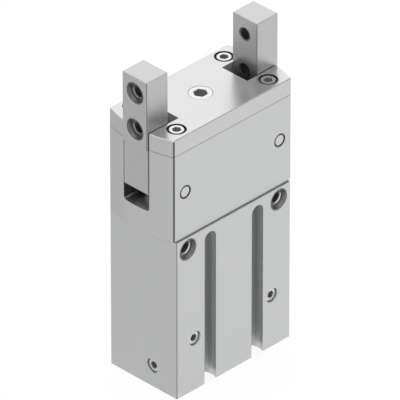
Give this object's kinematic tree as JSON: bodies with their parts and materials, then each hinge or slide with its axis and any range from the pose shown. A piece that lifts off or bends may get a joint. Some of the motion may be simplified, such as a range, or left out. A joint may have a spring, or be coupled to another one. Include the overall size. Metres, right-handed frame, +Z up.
{
  "type": "radial gripper",
  "caption": "Pneumatic radial gripper: a piston drives jaws that swing outwards, on a slotted aluminium body.",
  "frame": {"origin": "centre of the base, on the surface that the gripper stands on", "axes": "+Z up towards the jaws, +X from the left jaw to the right jaw, +Y from the front to the back"},
  "size_m": [0.0594, 0.0302, 0.1176],
  "materials": {
    "body_aluminium": "fine satin, clear anodised",
    "cover_aluminium": "fine satin, clear anodised",
    "cap_aluminium": "turned, clear anodised",
    "piston_aluminium": "turned",
    "jaw_steel": "ground",
    "crosshead_steel": "milled",
    "rod_steel": "ground and hard chromed",
    "pin_steel": "hardened and ground",
    "screw_steel": "bright zinc plated",
    "ring_steel": "phosphated spring steel",
    "bush_bronze": "sintered bronze",
    "seal_rubber": "moulded",
    "magnet_plastic": "plastic-bonded magnet"
  },
  "bodies": {
    "housing": {"cylinder_body": "body_aluminium", "jaw_housing": "body_aluminium", "cover_plate": "cover_aluminium", "cover_screws": "screw_steel", "cover_plug": "screw_steel", "left_pivot_pin": "pin_steel", "right_pivot_pin": "pin_steel", "housing_screws": "screw_steel", "locating_dowels": "pin_steel", "port_plugs": "screw_steel", "rod_bush": "bush_bronze", "rod_seal": "seal_rubber", "upper_bumper": "seal_rubber", "lower_bumper": "seal_rubber", "end_cap": "cap_aluminium", "end_cap_o_ring": "seal_rubber", "retaining_ring": "ring_steel"},
    "drive": {"piston_lower_half": "piston_aluminium", "piston_upper_half": "piston_aluminium", "piston_magnet": "magnet_plastic", "piston_seals": "seal_rubber", "piston_nut": "screw_steel", "piston_rod": "rod_steel", "crosshead": "crosshead_steel", "crosshead_screw": "screw_steel", "left_drive_pin": "pin_steel", "right_drive_pin": "pin_steel"},
    "left_jaw": {"left_jaw": "jaw_steel", "left_jaw_bush": "bush_bronze"},
    "right_jaw": {"right_jaw": "jaw_steel", "right_jaw_bush": "bush_bronze"}
  },
  "joints": [
    {"name": "piston_slide", "type": "slide", "parent": "housing", "child": "drive", "axis": [0, 0, 1], "range_m": [0, 0.01]},
    {"name": "left_jaw_swing", "type": "hinge", "parent": "housing", "child": "left_jaw", "pos_m": [-0.0215, 0, 0.0772], "axis": [0, -1, 0], "range_deg": [0, 90]},
    {"name": "right_jaw_swing", "type": "hinge", "parent": "housing", "child": "right_jaw", "pos_m": [0.0215, 0, 0.0772], "axis": [0, 1, 0], "range_deg": [0, 90]}
  ],
  "couplings": [
    {"joint": "left_jaw_swing", "follows": "piston_slide", "rad_per_m": 157.08},
    {"joint": "right_jaw_swing", "follows": "piston_slide", "rad_per_m": 157.08}
  ]
}
